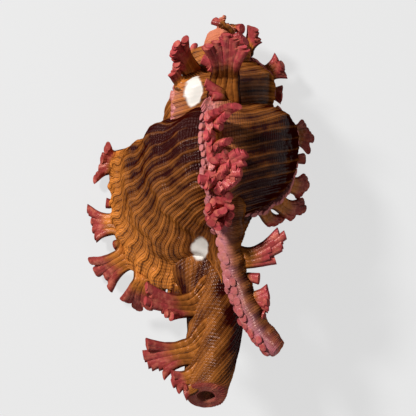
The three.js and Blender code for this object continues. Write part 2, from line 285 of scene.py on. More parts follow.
def skin_tree(material):
    tree, given, end = tree_with("Grow a skin", [("Outline", "NodeSocketObject", None), *SKIN_INPUTS])
    want = {label: Sum(tree, given.outputs[label]) for label, _, _ in SKIN_INPUTS}
    ladder = given.outputs["Geometry"]
    rows = Sum(tree, node(tree, "GeometryNodeAttributeDomainSize", Geometry=ladder).outputs["Point Count"])
    grid = node(tree, "GeometryNodeMeshGrid", Vertices_X=rows, Vertices_Y=want["Steps around"])
    index = Sum(tree, here(tree, "Index"))
    row = ((index + 0.5) / want["Steps around"]).floor()
    u = (index - row * want["Steps around"]) / (want["Steps around"] - 1)

    def row_value(name, kind="FLOAT"):
        taken = node(tree, "GeometryNodeSampleIndex", {"data_type": kind, "clamp": True},
                     Geometry=ladder, Value=named(tree, name, kind), Index=row)
        return taken.outputs["Value"] if kind != "FLOAT" else Sum(tree, taken.outputs["Value"])

    line = node(tree, "GeometryNodeObjectInfo", {"transform_space": "ORIGINAL"},
                Object=given.outputs["Outline"])
    on_line = node(tree, "GeometryNodeSampleCurve", {"mode": "FACTOR", "use_all_curves": False},
                   Curves=line.outputs["Geometry"], Factor=u)
    r, h, _ = split(tree, on_line.outputs["Position"])
    slope_r, slope_h, _ = split(tree, on_line.outputs["Tangent"])
    shown = r.ease(0.15, 0.6)
    out = shown * (row_value("ridge") + row_value("knob") * h.hump(0, 0.17)
                   + row_value("flare") * (h * -1).ease(-0.1, 0.1))
    place = added(tree, row_value("middle", "FLOAT_VECTOR"),
                  scaled(tree, row_value("across", "FLOAT_VECTOR"), r - out * slope_h),
                  scaled(tree, row_value("along", "FLOAT_VECTOR"), h + out * slope_r))
    skin = node(tree, "GeometryNodeSetPosition", Geometry=grid.outputs["Mesh"],
                Position=place).outputs["Geometry"]

    wave = (row_value("fold") * math.tau + Sum(tree, node(
        tree, "ShaderNodeTexNoise", Vector=here(tree, "Position"),
        Scale=0.16).outputs["Fac"]) * 4).sine() * row_value("folded")
    cord = want["Cords"] * u + want["Cord slant"] * row_value("stage") + wave * want["Cord wave"]
    fine = (cord * math.tau).cosine() * 0.5 + 0.5
    rib = ((cord / want["Cords to a rib"]) * math.tau).cosine() * 0.5 + 0.5
    stage = row_value("stage")
    growth = row_value("swelling")
    seat = here(tree, "Position")

    def noise(scale, detail=2.0):
        made = node(tree, "ShaderNodeTexNoise", {"noise_dimensions": "4D"},
                    Vector=seat, W=want["Seed"], Scale=scale, Detail=detail)
        return Sum(tree, made.outputs["Fac"]) - 0.5

    worn = None
    x, y, z = split(tree, seat)
    for (cx, cy), (half_x, half_y) in WORN:
        dx, dy = (x - cx) / half_x, (y - cy) / half_y
        near = (dx * dx + dy * dy).math("SQRT") + noise(0.35) * 0.9
        mark = (1 - near.ease(0.82, 1.08)) * z.ease(20, 24)
        worn = mark if worn is None else worn.at_least(mark)
    height = (1 - worn * 0.85) * shown * (
        want["Cord height"] * fine.power(0.8) + want["Rib height"] * rib.power(2.0) * (growth * 1.6 + 0.7))
    height = height + noise(0.16) * want["Unevenness"] * 2 + wave * want["Fold height"] * shown
    push = scaled(tree, here(tree, "Normal"), height * row_value("facing"))
    blush = row_value("blush") * (1 - want["Blush side"] + want["Blush side"] * u.hump(0.37, 0.12))
    # The gain shifts the tone of the far part of each row's outline. On the whorl this is its foot: the
    # shell's own tone, and partly painted shade on the right flank. On the canals it is their top and
    # right-hand side: painted shade.
    tone = row_value("tone") + row_value("gain") * u.ease(0.46, 0.72)
    paint = {"cord": fine, "phase": cord, "rib": rib, "stage": stage, "worn": worn, "blush": blush,
             "tone": tone}
    paint.update({label: row_value(label) for label in ("inside", "tip", "petal")})
    for label, value in paint.items():
        skin = stored(tree, skin, label, value)
    skin = node(tree, "GeometryNodeSetPosition", Geometry=skin, Offset=push).outputs["Geometry"]
    skin = node(tree, "GeometryNodeMergeByDistance", Geometry=skin, Distance=0.004).outputs["Geometry"]
    return ending(tree, skin, end, material)


def ending(tree, geometry, end, material):
    """Every tree ends alike: to metres, nothing below the table, smooth, made real, finish set."""
    sized = node(tree, "GeometryNodeTransform", Geometry=geometry, Scale=(MM, MM, MM))
    x, y, z = split(tree, here(tree, "Position"))
    resting = node(tree, "ShaderNodeCombineXYZ", X=x, Y=y, Z=z.at_least(0.0))
    level = node(tree, "GeometryNodeSetPosition", Geometry=sized.outputs["Geometry"],
                 Position=resting.outputs[0])
    soft = node(tree, "GeometryNodeSetShadeSmooth", Geometry=level.outputs["Geometry"])
    real = node(tree, "GeometryNodeRealizeInstances", Geometry=soft.outputs["Geometry"])
    painted = node(tree, "GeometryNodeSetMaterial", Geometry=real.outputs["Geometry"], Material=material)
    tree.links.new(painted.outputs["Geometry"], end.inputs["Geometry"])
    return tree


# %% [markdown]
# Running a tree: the ladder becomes a mesh of loose points with its values as attributes, the modifier's
# inputs are set by their identifiers, and the evaluated result is kept as a plain mesh.

# %% Ladders, outlines and running a tree
def in_scene(thing):
    bpy.context.scene.collection.objects.link(thing)


def line_object(name, points, closed=False):
    curve = bpy.data.curves.new(name, "CURVE")
    curve.dimensions = "3D"
    strip = curve.splines.new("POLY")
    strip.points.add(len(points) - 1)
    for point, (a, b) in zip(strip.points, points):
        point.co = (a, b, 0, 1)
    strip.use_cyclic_u = closed
    return bpy.data.objects.new(name, curve)


def points_object(name, middle, values, edges=()):
    mesh = bpy.data.meshes.new(name)
    mesh.from_pydata([tuple(p) for p in middle], list(edges), [])
    for label, data in {"middle": middle, **values}.items():
        data = np.asarray(data, float)
        wide = data.ndim == 2
        held = mesh.attributes.new(label, "FLOAT_VECTOR" if wide else "FLOAT", "POINT")
        held.data.foreach_set("vector" if wide else "value", data.astype(np.float32).ravel())
    return bpy.data.objects.new(name, mesh)


def run_tree(tree, source, piece_name, **inputs):
    in_scene(source)
    modifier = source.modifiers.new("grow", "NODES")
    modifier.node_group = tree
    for socket in tree.interface.items_tree:
        if socket.in_out == "INPUT" and socket.name.replace(" ", "_").lower() in inputs:
            modifier[socket.identifier] = inputs[socket.name.replace(" ", "_").lower()]
    done = source.evaluated_get(bpy.context.evaluated_depsgraph_get())
    mesh = bpy.data.meshes.new_from_object(done)
    mesh.name = piece_name
    piece = bpy.data.objects.new(piece_name, mesh)
    in_scene(piece)
    bpy.data.objects.remove(source)
    middles, facing = np.empty(3 * len(mesh.polygons)), np.empty(3 * len(mesh.polygons))
    mesh.polygons.foreach_get("center", middles)
    mesh.polygons.foreach_get("normal", facing)
    middles, facing = middles.reshape(-1, 3), facing.reshape(-1, 3)
    print(piece_name, "faces:", len(mesh.polygons), "outward score:",
          round(float(((middles - middles.mean(axis=0)) * facing).sum(axis=1).mean() / MM), 2))
    return piece


def pigment_and_shade(stage):
    """0 where the shell is nearly black, 1 where it is pale gold, and how much paler its foot is."""
    # From the back varix round to the right-hand one (stages 1.2 to 2) the tone falls to near black and the
    # foot is darker still: the shell's own dark brown, and partly painted shade on the right flank, in the lee
    # of the back varix with the light from the left.
    tones = [(0.0, 0.84), (0.20, 0.56), (0.34, 0.32), (0.50, 0.19), (0.97, 0.10), (1.0, 0.80), (1.12, 0.66),
             (1.22, 0.32), (1.5, 0.17), (1.98, 0.08), (2.0, 0.3), (2.6, 0.25), (3.0, 0.62), (3.4, 0.46),
             (3.9, 0.52),
             (4.0, 0.64), (4.3, 0.38), (5.0, 0.5), (6.0, 0.55), (8.0, 0.7), (14.0, 0.85)]
    gains = [(0.0, 0.0), (0.3, 0.10), (0.5, 0.36), (0.97, 0.30), (1.0, -0.1), (2.0, -0.1), (3.0, 0.0)]
    return np.interp(stage, *zip(*tones)), np.interp(stage, *zip(*gains))


JUST_BEFORE = 1e-4  # a whorl's rows stop this part of a stage before its varix, to leave a step there


def whorl_ladder(name, first, last, steps):
    """Growth rows from the older varix to the newer, closer together where a varix ends."""
    t = np.arange(steps) / steps
    stage = np.concatenate([k + t ** 1.6 * (1 - JUST_BEFORE) for k in range(first,
                                                                            last)] + [[last - JUST_BEFORE,
                                                                                       last]])[::-1]
    turn, size, shoulder, ridge, knob, flare = growth_rows(stage)
    if last == len(GROWTH) - 1:
        size = size * np.minimum(np.arange(len(size)), 1)  # the apex closes to a point
    zero = np.zeros_like(turn)
    middle = lay(zero, shoulder, zero)
    base = lay(zero, zero, zero)
    across = lay(-np.cos(turn) * size, zero, np.sin(turn) * size) - base
    along = lay(zero, size, zero) - base
    folded = smooth(flare * size, 0.2, 4.0) * 0.45 + 0.35 * (stage < 1) + 0.1
    before = (turn - np.radians(spline(GROWTH, np.floor(stage))[:, 0])) * size
    blush = np.where(stage >= 1, np.exp(-before / 2.3), 0) * np.where(stage < 3, 1, 0.35)
    tone, gain = pigment_and_shade(stage)
    return points_object(name, middle, {
        "across": across, "along": along, "ridge": ridge, "knob": knob, "flare": flare, "stage": stage,
        "swelling": ridge / VARIX_SWELL + np.minimum(flare * 1.2, 0.6), "fold": turn * size / 12.0,
        "folded": folded,
        "tone": tone, "gain": gain, "blush": blush, "facing": zero + 1, "inside": zero})


# %% [markdown]
# One finish covers the whole shell, as one skin covers the real one. The attributes that the trees stored
# say where each point is on the animal's growth, so the paint follows the cords and the fronds wherever
# they turn: dark grooves, golden cords, pink frond tips, pale varices and two bare, chalky patches. The
# cords' paler crests are partly their own colour and partly a painted highlight, and the dark sides of the
# frond ribs are painted shade in the creases between them. Three fine threads to a cord are shading and
# bump only. The gloss fades where the surface turns away from whoever looks at it.

# %% The shell's finish
DARK, BROWN, ORANGE, GOLD, STRAW = (
    (0.024, 0.0015, 0.001, 1), (0.085, 0.010, 0.0015, 1), (0.255, 0.038, 0.002, 1),
    (0.480, 0.100, 0.005, 1),
    (0.760, 0.250, 0.045, 1))
LINE, ROSE, DULL_ROSE, LILAC, CHALK, PEACH, CREAM = (
    (0.022, 0.0015, 0.001, 1), (0.430, 0.056, 0.066, 1), (0.235, 0.036, 0.026, 1), (0.540, 0.200, 0.240, 1),
    (0.700, 0.660, 0.600, 1), (0.640, 0.200, 0.120, 1), (0.700, 0.500, 0.380, 1))
GLINT = (1.0, 0.70, 0.62, 1)  # the skin's gloss is a little warm


def mixed(tree, amount, first, second, blend="MIX"):
    made = node(tree, "ShaderNodeMix", {"data_type": "RGBA", "blend_type": blend})
    feed(tree, made.inputs[0], amount)
    feed(tree, made.inputs[6], first)
    feed(tree, made.inputs[7], second)
    return made.outputs[2]


def shell_finish():
    material = bpy.data.materials.new("shell skin")
    material.use_nodes = True
    tree = material.node_tree
    shader = tree.nodes["Principled BSDF"]
    seat = node(tree, "ShaderNodeTexCoord").outputs["Object"]

    def held(name):
        made = node(tree, "ShaderNodeAttribute", {"attribute_type": "GEOMETRY", "attribute_name": name})
        return Sum(tree, made.outputs["Fac"])

    def noise(per_mm, detail=3.0):
        made = node(tree, "ShaderNodeTexNoise", Vector=seat, Scale=per_mm / MM, Detail=detail,
                    Roughness=0.55)
        return Sum(tree, made.outputs["Fac"]) - 0.5

    cord, rib, stage, blush = held("cord"), held("rib"), held("stage"), held("blush")
    worn, tone, tip, inside, petal = held("worn"), held("tone"), held("tip"), held("inside"), held("petal")
    thread = (held("phase") * 3 * math.tau).cosine() * 0.5 + 0.5
    # Raised cords and ribs are paler on their crests: partly their own colour, partly a painted highlight
    # along the raised tops.
    level = tone - 0.22 + noise(0.10, 4.0) * 0.95 + noise(0.45) * 0.3 + (rib - 0.4) * 0.24 + cord * 0.10
    ramp = node(tree, "ShaderNodeValToRGB", Fac=level)
    stops = ramp.color_ramp.elements
    for place, colour in [(0.0, DARK), (0.26, BROWN), (0.50, ORANGE), (0.74, GOLD), (1.0, STRAW)]:
        stop = stops[0] if place == 0 else stops[1] if place == 1 else stops.new(place)
        stop.position, stop.color = place, colour
    # Dark lines: in the whorl's grooves and threads they are the shell's own dark lines. On the ribs of the
    # fronds and scales they darken each rib's sides, where it meets the next: painted shade in the creases
    # between ribs.
    groove = (1 - cord.ease(0.0, 0.26)) * (0.7 + noise(0.3) * 1.4 - tip * 0.4).at_least(0).at_most(1)
    groove = groove.at_least((1 - thread.ease(0.0, 0.7)) * (0.34 + noise(0.4) * 1.0).at_least(0))
    skin = mixed(tree, groove, ramp.outputs["Color"], LINE)
    skin = mixed(tree, (blush * 0.85 + noise(0.6) * blush).at_least(0).at_most(0.9), skin, LILAC)
    skin = mixed(tree, stage.ease(7.0, 10.0) * 0.75, skin, PEACH)
    rose = mixed(tree, (petal + noise(0.35) * 0.8).at_least(0).at_most(1), DULL_ROSE, ROSE)
    rose = mixed(tree, (noise(0.55) * 2.2 + cord * 0.12).at_least(0).at_most(0.6), rose, PEACH)
    # The same painted shade darkens the creases between the ribs in the rosy part of the fronds.
    rose = mixed(tree, groove * 0.8, rose, DARK)
    skin = mixed(tree, (tip + noise(0.4) * 0.35).ease(0.30, 0.72), skin, rose)
    skin = mixed(tree, worn, skin, CHALK)
    skin = mixed(tree, inside, skin, CREAM)
    tree.links.new(skin, shader.inputs["Base Color"])
    rough = 0.24 + noise(0.8) * 0.15
    tree.links.new(rough.socket, shader.inputs["Roughness"])
    lines = (stage * 380 + noise(0.2) * 7).sine() * 0.5 + 0.5
    grown = (lines * 0.8 + thread * 0.7) * (1 - tip) * (1 - worn)
    grain = (noise(1.6, 4.0) * 1.0 + noise(0.5) * 0.9) * (1 - worn * 0.7)
    relief = grown + grain
    bump = node(tree, "ShaderNodeBump", Height=relief, Strength=0.4, Distance=0.0003)
    tree.links.new(bump.outputs["Normal"], shader.inputs["Normal"])
    shader.inputs["IOR"].default_value = 1.26
    facing = Sum(tree, node(tree, "ShaderNodeLayerWeight", Blend=0.5).outputs["Facing"])
    gloss = (0.54 - facing * 0.95).at_least(0)  # no pale veil where the shell turns away
    tree.links.new(gloss.socket, shader.inputs["Specular IOR Level"])
    shader.inputs["Specular Tint"].default_value = GLINT
    return material


SHELL_SKIN = shell_finish()
GROW_SKIN = skin_tree(SHELL_SKIN)
whorl_outline = line_object("whorl outline", outline)
print("nodes in the finish:", len(SHELL_SKIN.node_tree.nodes), "and in the skin's tree:",
      len(GROW_SKIN.nodes))

# %% [markdown]
# The whorls are grown in four lengths, because the body is large and wants many steps and the spire's tip
# is small and wants few. Each length ends at a varix, where the real shell has a step of its own.

# %% Whorls
# first and last varix, rows to a stage, steps round the outline, cords, cord height, rib height
ROWS = {"last_whorl": (0, 1, 190, 420, 60, 0.11, 0.28), "body_whorl": (1, 3, 88, 420, 60, 0.11, 0.28),
        "spire_whorls": (3, 6, 72, 280, 42, 0.11, 0.26), "spire_tip": (6, 14, 26, 110, 20, 0.08, 0.14)}
pieces = []
for name, (first, last, steps, around, cords, cord_height, rib_height) in ROWS.items():
    pieces.append(run_tree(
        GROW_SKIN, whorl_ladder(name + " rows", first, last, steps), name, outline=whorl_outline,
        steps_around=around, cords=float(cords), cord_height=cord_height, rib_height=rib_height,
        cords_to_a_rib=3.0,
        cord_slant=8.0 if first < 3 else 0.0, cord_wave=0.7, fold_height=0.9,
        unevenness=0.4 if first < 3 else 0.25, seed=0.0 if first < 3 else float(first)))

# %% [markdown]
# Every varix fed a siphonal canal while it was the mouth, so three canals show: the one in use, and the
# stubs of the two before it. They are the same skin over a different ladder: the outline is a circle, and
# each row is as wide and as deep as the canal is there.

# %% Siphonal canals
CANAL = [
    [-10.0, -8, 13, 9.0, 7.0], [-5.5, -16, 17, 9.6, 7.4], [-2.2, -24, 21, 8.6, 6.6],
    [-2.4, -32, 25, 7.6, 5.8],
    [-3.6, -40, 28.6, 6.9, 5.0], [-4.6, -46.5, 31.4, 6.0, 4.2], [-4.8, -50.6, 32.6, 5.3, 3.8]]
BACK_CANAL = [
    [1.8, 10, 27, 2.4, 3.6], [1.6, -2, 33.6, 3.8, 5.4], [1.7, -10, 32.6, 3.1, 4.8],
    [2.9, -17, 31.4, 3.1, 4.4],
    [5.0, -24, 31.2, 3.2, 4.1], [7.8, -30, 31.8, 3.2, 3.6], [11.4, -35.4, 33.0, 2.9, 3.0],
    [14.8, -38.4, 34.0, 2.4, 2.3]]
RIGHT_CANAL = [
    [5.6, 4, 14.0, 5.0, 5.0], [2.6, -4, 15.0, 4.2, 4.6], [0.8, -12, 17.0, 3.2, 4.0],
    [0.6, -20, 19.0, 2.6, 3.0]]
BORE_SHARE = 0.46  # the open bore's share of the canal's width
RIM_ROWS, BORE_ROWS = 6, 8  # rows over the canal's rim and back along its bore
MOUTH_SLOPE = 0.62  # how far the canal's end is cut back on its upper side, so that the bore looks upwards


def branch_ladder(name, points, steps, tones, bore=True, blush=0.0, tips=((0, 0), (1, 0)), right=0.0):
    """Rows along a canal; a bored one turns in at its end and runs back inside itself."""
    t = np.linspace(0, len(points) - 1, steps)
    if bore:
        t = np.concatenate([t, np.full(RIM_ROWS, t[-1]), t[-1] - np.linspace(0.1, 1.7, BORE_ROWS)])
    run = spline(points, t)
    ahead = np.gradient(spline(points, np.linspace(0, len(points) - 1, 400))[:, :3], axis=0)
    ahead = np.stack([np.interp(t, np.linspace(0, len(points) - 1, 400), ahead[:, k]) for k in range(3)],
                     axis=1)
    ahead /= np.linalg.norm(ahead, axis=1)[:, None]
    side = np.array([1.0, 0, 0]) - ahead * ahead[:, :1]
    side /= np.linalg.norm(side, axis=1)[:, None]
    up = np.cross(ahead, side)
    share = np.ones(len(t))
    cut = np.zeros(len(t))
    if bore:
        cut = MOUTH_SLOPE * smooth(t, len(points) - 1.9, len(points) - 1.0)
        cut[steps:] = MOUTH_SLOPE
        share[steps - 4:steps] = [0.995, 0.985, 0.96, 0.90]
        share[steps:] = np.concatenate([
            np.linspace(0.84, BORE_SHARE, RIM_ROWS), np.full(BORE_ROWS - 1, BORE_SHARE), [0]])
    else:
        share[-5:] = [0.96, 0.9, 0.8, 0.6, 0.0]
    share[0] = 0
    middle = run[:, :3] + np.array([*SHIFT, 0])
    zero = np.zeros(len(t))
    inward = np.concatenate([np.zeros(steps), np.linspace(0.2, 1, RIM_ROWS + BORE_ROWS)]) if bore else zero
    return points_object(name, middle, {
        "across": side * (run[:, 3] * share)[:, None],
        "along": (up - ahead * cut[:, None]) * (run[:, 4] * share)[:, None],
        "ridge": zero, "knob": zero, "flare": zero, "stage": np.linspace(0, 1, len(t)),
        "swelling": zero, "fold": run[:, 1] / 7, "folded": zero + (0.0 if bore else 0.5),
        "blush": zero + blush,
        # Painted shade: the canal's top and right-hand side are darkened near its root, in the groove beside
        # the back varix's column and on the side turned from the key light.
        "gain": zero + right * (1 - smooth(t / t.max(), 0.5, 0.8)),
        "tone": np.interp(t / t.max(), *zip(*tones)),
        "tip": np.interp(t / t.max(), *zip(*tips)), "petal": zero + 0.45, "facing": 1 - inward,
        "inside": inward * 0.12})


circle = line_object("canal outline", [
    (math.cos(a), math.sin(a)) for a in np.linspace(-math.pi / 2, -2.5 * math.pi, 97)])
canal_sizes = {"cords_to_a_rib": 5.0, "cord_height": 0.13, "rib_height": 0.12, "unevenness": 0.7,
               "outline": circle}
# right=-0.6 here and -0.2 on the back canal below are that painted shade.
pieces.append(run_tree(
    GROW_SKIN, branch_ladder("canal rows", CANAL, 170,
                             [(0, 0.46), (0.4, 0.34), (0.8, 0.40), (0.93, 0.48), (1, 0.5)],
                             tips=[(0, 0), (0.72, 0.05), (0.93, 0.5), (1, 0.62)], right=-0.6),
    "canal", steps_around=300, cords=36.0, cord_slant=26.0, seed=4.0, **canal_sizes))
pieces.append(run_tree(
    GROW_SKIN, branch_ladder("back canal rows", BACK_CANAL, 220,
                             [(0, 0.5), (0.3, 0.6), (0.8, 0.4), (1, 0.4)],
                             False, 1.0, [(0, 0), (0.6, 0.1), (0.85, 0.4), (1, 0.5)], -0.2),
    "back_canal", steps_around=140, cords=3.0, cord_slant=64.0, fold_height=0.6, blush_side=1.0, seed=5.0,
    **canal_sizes))
pieces.append(run_tree(
    GROW_SKIN, branch_ladder("right canal rows", RIGHT_CANAL, 80, [(0, 0.3), (1, 0.3)], False),
    "right_canal", steps_around=90, cords=4.0, cord_slant=20.0, seed=6.0, **canal_sizes))

# %% [markdown]
# The fronds are the flower of this shell. Each grew as a bundle of cords that ran on past the varix: broad
# at the root, drawn in at a neck and fanned out into blunt fingers. Each finger here is two ribs side by
# side, and a shorter rib webs it to the next. A rib starts on the whorl some way before the varix, runs
# over it and out to its own tip. A second tree sweeps a slightly flattened round along all of the ribs at
# once.

# %% The tree that sweeps the ribs
RIB_INPUTS = [("Sides", "NodeSocketInt", 12), ("Flatness", "NodeSocketFloat", 0.8),
              ("Crinkle", "NodeSocketFloat", 0.12)]


def rib_tree(material):
    tree, given, end = tree_with("Sweep ribs", RIB_INPUTS)
    curves = node(tree, "GeometryNodeMeshToCurve", Mesh=given.outputs["Geometry"]).outputs["Curve"]

    spine = here(tree, "Position")
    curves = stored(tree, curves, "spine", spine, "FLOAT_VECTOR")
    curves = node(tree, "GeometryNodeSetCurveRadius", Curve=curves,
                  Radius=named(tree, "girth")).outputs["Curve"]
    curves = node(tree, "GeometryNodeSetCurveNormal", {"mode": "FREE"}, Curve=curves,
                  Normal=named(tree, "cup", "FLOAT_VECTOR")).outputs["Curve"]
    ring = node(tree, "GeometryNodeCurvePrimitiveCircle", {"mode": "RADIUS"},
                Resolution=given.outputs["Sides"])
    squash = node(tree, "ShaderNodeCombineXYZ", X=1.0, Y=given.outputs["Flatness"], Z=1.0)
    flat = node(tree, "GeometryNodeTransform", Geometry=ring.outputs["Curve"], Scale=squash.outputs[0])
    ribs = node(tree, "GeometryNodeCurveToMesh", Curve=curves,
                Profile_Curve=flat.outputs["Geometry"], Fill_Caps=True)
    cup, spine = named(tree, "cup", "FLOAT_VECTOR"), named(tree, "spine", "FLOAT_VECTOR")
    aside = vectors(tree, "SUBTRACT", here(tree, "Position"), spine).outputs["Vector"]
    share = vectors(tree, "DOT_PRODUCT", aside, cup)
    wider = Sum(tree, share.outputs["Value"]) * (Sum(tree, named(tree, "spread")) - 1)
    ribs = node(tree, "GeometryNodeSetPosition", Geometry=ribs.outputs["Mesh"],
                Offset=scaled(tree, cup, wider))
    turned = vectors(tree, "DOT_PRODUCT", here(tree, "Normal"), cup)
    sideways = Sum(tree, turned.outputs["Value"])
    # The sides of a rib, which face the next rib, get a low value here. The finish paints them dark, as
    # painted shade in the creases between ribs.
    skin = stored(tree, ribs.outputs["Geometry"], "cord", 1 - sideways * sideways * 2.6)
    crinkles = node(tree, "ShaderNodeTexNoise", Vector=here(tree, "Position"), Scale=0.7)
    amount = (Sum(tree, crinkles.outputs["Fac"]) - 0.5) * Sum(tree, given.outputs["Crinkle"]) * 2
    push = scaled(tree, here(tree, "Normal"), amount)
    skin = node(tree, "GeometryNodeSetPosition", Geometry=skin, Offset=push).outputs["Geometry"]
    return ending(tree, skin, end, material)


# %% [markdown]
# Ribs are collected first and swept later. Each has a route, and along it a girth, a widening, a colour
# tone and how rosy it is; its end is rounded off.

# %% Collecting ribs
RIB_STEPS = 26


class Ribs:
    """Collects rib routes, then turns them into one object."""

    def __init__(self):
        self.points, self.edges = [], []
        self.values = {k: [] for k in ("girth", "cup", "spread", "tip", "tone", "petal", "stage", "blush")}

    def add(self, route, girth, cup, tip, tone, petal, steps=RIB_STEPS, blunt=1.5, spread=(1, 1),
            blush=0.0):
        """Route is spline rows, girth and spread go evenly along it; the end is rounded over its own girth."""
        t = 1 - (1 - np.linspace(0, 1, steps)) ** 2.1
        path = spline(route, t * (len(route) - 1))
        run = np.concatenate([[0], np.cumsum(np.linalg.norm(np.diff(path, axis=0), axis=1))])
        thick = np.interp(t, np.linspace(0, 1, len(girth)), girth)
        left = (run[-1] - run) / (blunt * girth[-1])
        thick = thick * np.sqrt(1 - (1 - np.minimum(left, 1)) ** 2 + 0.0005)
        start = len(self.points)
        self.points.extend(path)
        self.edges.extend((start + k, start + k + 1) for k in range(steps - 1))
        widening = np.interp(t, np.linspace(0, 1, len(spread)), spread)
        rosy = np.interp(t, [0, 0.52, 1], [0, *tip])
        many = {"girth": thick, "cup": np.tile(cup, (steps, 1)), "stage": 0.009 * run, "spread": widening,
                "tip": rosy, "tone": np.full(steps, tone), "petal": np.full(steps, petal),
                "blush": np.full(steps, blush)}
        for label, data in many.items():
            self.values[label].extend(data)


print("points along a frond's rib:", RIB_STEPS)

# %% [markdown]
# A finger's place across its frond goes from -1 to 1. At the root it spreads along the varix, at the neck
# it closes up, and at the tip it spreads along the fan and ends a little sooner or later than its
# neighbours, as live growth does.

# %% One frond
def unit(v):
    return v / (np.linalg.norm(v) + 1e-9)


def crest_place(varix, x, y):
    """u of the varix's point nearest to a place seen from above."""
    stage = varix + (0.012 if varix == 0 else 0.03)
    us = np.linspace(0.15, 0.95, 400)
    seen = np.array([whorl_point(stage, u)[:2] for u in us])
    return stage, us[np.argmin(np.hypot(seen[:, 0] - x - SHIFT[0], seen[:, 1] - y - SHIFT[1]))]


def grow_frond(ribs, feet, crest, lean, tip, fan, fingers, width, tone, petal, neck=0.60):
    """One frond: feet(q) gives the points a rib comes from, crest the middle of its foot.

    Each finger is two ribs side by side, and one shorter rib webs it to the next finger.
    """
    length = np.linalg.norm(tip - crest)
    ahead = unit(tip - crest)
    fan = unit(fan)
    across = unit(fan - ahead * fan.dot(ahead))
    cup = unit(np.cross(across, ahead))
    strands = 3 * fingers - 1
    thick = 0.6 * width / strands + (0.1 if width > 5 else 0.03)
    reach = crest + lean * 0.36 * length

    def bow(t):
        return crest * (1 - t) ** 2 + reach * 2 * t * (1 - t) + tip * t * t

    for k in range(strands):
        finger, strand = divmod(k, 3)
        web = strand == 2
        q = (2 * finger + (0.56 * strand - 0.28 if not web else 1)) / (fingers - 1 or 1) - (fingers > 1)
        if strand == 0:
            reached, bend = rng.uniform(0.88, 1.0) - 0.1 * abs(q) ** 1.5, rng.uniform(-0.6, 1.6)
        end = rng.uniform(0.72, 0.84) if web else reached - 0.05 * strand * rng.uniform(-1, 1)
        side = fan * (q + rng.uniform(-0.05, 0.05) / fingers) * width * 0.42
        curl = cup * (bend + rng.uniform(-0.3, 0.3)) * thick
        side = side - cup * (0.5 * thick if web else 0)
        fanned = 0.9 if web else 1.04 + 0.14 * abs(q)
        route = [*feet(q), bow(0.20 * end) + side * (neck + 0.1), bow(0.46 * end) + side * neck,
                 bow(0.74 * end) + side * (neck + 0.16) + cup * 0.04 * width * q * q,
                 bow(end) + side * fanned + cup * 0.12 * width * q * q + curl * (not web)]
        wide = thick * rng.uniform(0.9, 1.1) * (0.85 if web else 1)
        ribs.add(route, [0.6 * wide, 0.85 * wide, 0.9 * wide, 0.9 * wide, 1.0 * wide, 1.1 * wide,
                         0.85 * wide],
                 across, (0.12, 0.75 if web else 1.0), tone + rng.uniform(-0.14, 0.14),
                 petal * rng.uniform(0.5, 1.1), blunt=2.2 if width > 5 else 4.0,
                 spread=(1.1, 1.1, 1.0, 1.15, 1.3))


print("the lip's foot is at u = 0.9:", whorl_point(0, 0.9).round(1))

# %% [markdown]
# A frond on a varix needs to know three ways there: along the varix, onward with the growth, and outward.

# %% A frond on a varix
def varix_frame(varix, place):
    """Where a frond stands: stage, u, crest point, way along the varix, way the shell grows, way out."""
    stage, u = crest_place(varix, *place)
    crest = whorl_point(stage, u)
    along = unit(whorl_point(stage, u - 0.01) - whorl_point(stage, u + 0.01))
    growing = unit(crest - whorl_point(stage + 0.05, u))
    lean = unit(np.cross(along, growing))
    if lean.dot(whorl_point(stage, u, 1.0) - crest) < 0:
        lean = -lean
    return stage, u, crest, along, growing, lean


def varix_frond(ribs, varix, place, tip, fingers, width, fan=None, stem=None, tone=0.72, petal=1.0,
                foot=1.25):
    """A frond whose foot spreads along its varix, `foot` times as wide as its fan.

    One with a stem climbs its varix from that place instead.
    """
    stage, u, crest, along, growing, lean = varix_frame(varix, place)
    half = foot * 0.5 * width / (2.9 * growth_rows(stage)[1][0])
    fan = unit(along if fan is None else np.array(fan, float))
    turned = 1 if fan.dot(along) >= -0.2 else -1
    if stem:
        low = whorl_point(*crest_place(varix, *stem))

    def feet(q):
        if stem:
            below, above = low + fan * q * width * 0.36, crest + fan * q * width * 0.28
            return [below - [0, 0, 2.6], below * 0.75 + above * 0.25 - [0, 0, 0.3],
                    below * 0.35 + above * 0.65 + [0, 0, 0.9]]
        edge = whorl_point(stage, min(max(u - turned * q * half, 0.2), 0.9))
        near = whorl_point(stage, u - turned * q * half * 0.66)
        return [edge - growing * 2.6 - lean * 1.5, edge * 0.6 + near * 0.4 - growing * 1.2 - lean * 0.3,
                near + lean * 0.3]

    target = np.array(tip, float) + [*SHIFT, 0]
    grow_frond(ribs, feet, crest, lean, target, fan, fingers, width, tone, petal)


print("way out of the lip at its top frond:", varix_frame(0, (-28.0, 11.2))[-1].round(2))

# %% [markdown]
# Where the fronds stand. A root on a varix is given as it is seen from above, and the varix gives its
# height; a root on a canal has its own height. The fan is the way that a frond spreads, where it isn't
# along its varix.

